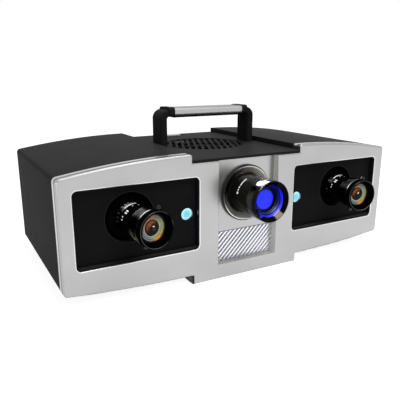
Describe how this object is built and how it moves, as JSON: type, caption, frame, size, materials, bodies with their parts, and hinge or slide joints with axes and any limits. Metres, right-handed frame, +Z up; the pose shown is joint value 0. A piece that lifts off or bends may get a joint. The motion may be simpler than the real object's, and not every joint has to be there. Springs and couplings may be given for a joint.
{
  "type": "three-d scanner",
  "caption": "Wide desktop three-d scanner head with toed-in camera lenses in black windows, a central projector lens, a diagonal air grille and a bridge carrying handle.",
  "frame": {"origin": "mouth of the tripod socket, on the underside below the middle of the housing", "axes": "+X to the right for someone facing the lenses, -Y the way the lenses look, +Z up"},
  "size_m": [0.46, 0.2789, 0.2023],
  "materials": {
    "silver_paint": "fine silver paint, satin",
    "black_casing": "moulded black, matte",
    "tray_black": "moulded black, satin",
    "lens_black": "black anodised, satin",
    "lens_glass": "coated lens glass",
    "projector_glass": "blue coated glass",
    "indicator_cyan": "translucent light cap",
    "grille_metal": "pale satin",
    "collar_metal": "turned",
    "grip_metal": "satin anodised",
    "grip_rubber": "matte",
    "elbow_black": "moulded black, satin",
    "screw_black": "blackened",
    "screw_steel": "plain",
    "bare_aluminium": "milled",
    "engine_black": "black coated",
    "board_green": "solder mask",
    "filter_foam": "open foam",
    "fan_black": "moulded",
    "socket_shell": "plated",
    "socket_black": "moulded",
    "key_white": "moulded white"
  },
  "bodies": {
    "scanner_body": {"base_tray": "black_casing", "data_socket": "socket_shell", "dust_filter": "filter_foam", "fan_frame": "fan_black", "front_plate": "silver_paint", "grip_pad": "grip_rubber", "handle_grip": "grip_metal", "handle_screws": "screw_steel", "heat_sink": "bare_aluminium", "key_board": "board_green", "left_camera_body": "engine_black", "left_camera_bracket": "engine_black", "left_handle_elbow": "elbow_black", "left_housing": "black_casing", "left_indicator": "indicator_cyan", "left_indicator_board": "board_green", "left_lens_barrel": "lens_black", "left_window_tray": "tray_black", "louvre_grille": "grille_metal", "main_board": "board_green", "optical_bench": "bare_aluminium", "power_inlet": "socket_black", "projector_barrel": "lens_black", "projector_collar": "collar_metal", "projector_engine": "engine_black", "projector_glass": "projector_glass", "rear_panel": "black_casing", "right_camera_body": "engine_black", "right_camera_bracket": "engine_black", "right_handle_elbow": "elbow_black", "right_housing": "black_casing", "right_indicator": "indicator_cyan", "right_indicator_board": "board_green", "right_lens_barrel": "lens_black", "right_window_tray": "tray_black", "top_cover": "black_casing", "tripod_bush": "screw_steel", "video_socket": "socket_shell"},
    "left_focus": {"left_focus_ring": "lens_black", "left_front_glass": "lens_glass"},
    "left_iris": {"left_iris_ring": "lens_black"},
    "left_upper_lock": {"left_upper_lock_screw": "screw_black"},
    "left_lower_lock": {"left_lower_lock_screw": "screw_black"},
    "right_focus": {"right_focus_ring": "lens_black", "right_front_glass": "lens_glass"},
    "right_iris": {"right_iris_ring": "lens_black"},
    "right_upper_lock": {"right_upper_lock_screw": "screw_black"},
    "right_lower_lock": {"right_lower_lock_screw": "screw_black"},
    "projector_focus": {"projector_focus_ring": "lens_black"},
    "cooling_fan": {"fan_rotor": "fan_black"},
    "power_button": {"power_key": "key_white"}
  },
  "joints": [
    {"name": "left_focus_turn", "type": "hinge", "parent": "scanner_body", "child": "left_focus", "pos_m": [-0.151, -0.1055, 0.093], "axis": [0.1392, -0.9903, 0], "range_deg": [-60, 60]},
    {"name": "left_iris_turn", "type": "hinge", "parent": "scanner_body", "child": "left_iris", "pos_m": [-0.151, -0.1055, 0.093], "axis": [0.1392, -0.9903, 0], "range_deg": [-40, 40]},
    {"name": "left_upper_lock_turn", "type": "hinge", "parent": "left_focus", "child": "left_upper_lock", "pos_m": [-0.14571, -0.14313, 0.093], "axis": [0.568, 0.0798, 0.8192], "range_deg": [0, 270]},
    {"name": "left_lower_lock_turn", "type": "hinge", "parent": "left_focus", "child": "left_lower_lock", "pos_m": [-0.14571, -0.14313, 0.093], "axis": [-0.172, -0.0242, -0.9848], "range_deg": [0, 270]},
    {"name": "right_focus_turn", "type": "hinge", "parent": "scanner_body", "child": "right_focus", "pos_m": [0.151, -0.1055, 0.093], "axis": [-0.1392, -0.9903, 0], "range_deg": [-60, 60]},
    {"name": "right_iris_turn", "type": "hinge", "parent": "scanner_body", "child": "right_iris", "pos_m": [0.151, -0.1055, 0.093], "axis": [-0.1392, -0.9903, 0], "range_deg": [-40, 40]},
    {"name": "right_upper_lock_turn", "type": "hinge", "parent": "right_focus", "child": "right_upper_lock", "pos_m": [0.14571, -0.14313, 0.093], "axis": [0.568, -0.0798, 0.8192], "range_deg": [0, 270]},
    {"name": "right_lower_lock_turn", "type": "hinge", "parent": "right_focus", "child": "right_lower_lock", "pos_m": [0.14571, -0.14313, 0.093], "axis": [-0.172, 0.0242, -0.9848], "range_deg": [0, 270]},
    {"name": "projector_focus_turn", "type": "hinge", "parent": "scanner_body", "child": "projector_focus", "pos_m": [0, -0.114, 0.103], "axis": [0, -1, 0], "range_deg": [-45, 45]},
    {"name": "fan_spin", "type": "hinge", "parent": "scanner_body", "child": "cooling_fan", "pos_m": [0, -0.001, 0.14], "axis": [0, 0, 1], "continuous": true},
    {"name": "power_button_press", "type": "slide", "parent": "scanner_body", "child": "power_button", "axis": [0, 0, -1], "range_m": [0, 0.0015], "stiffness_N_per_m": 600}
  ]
}
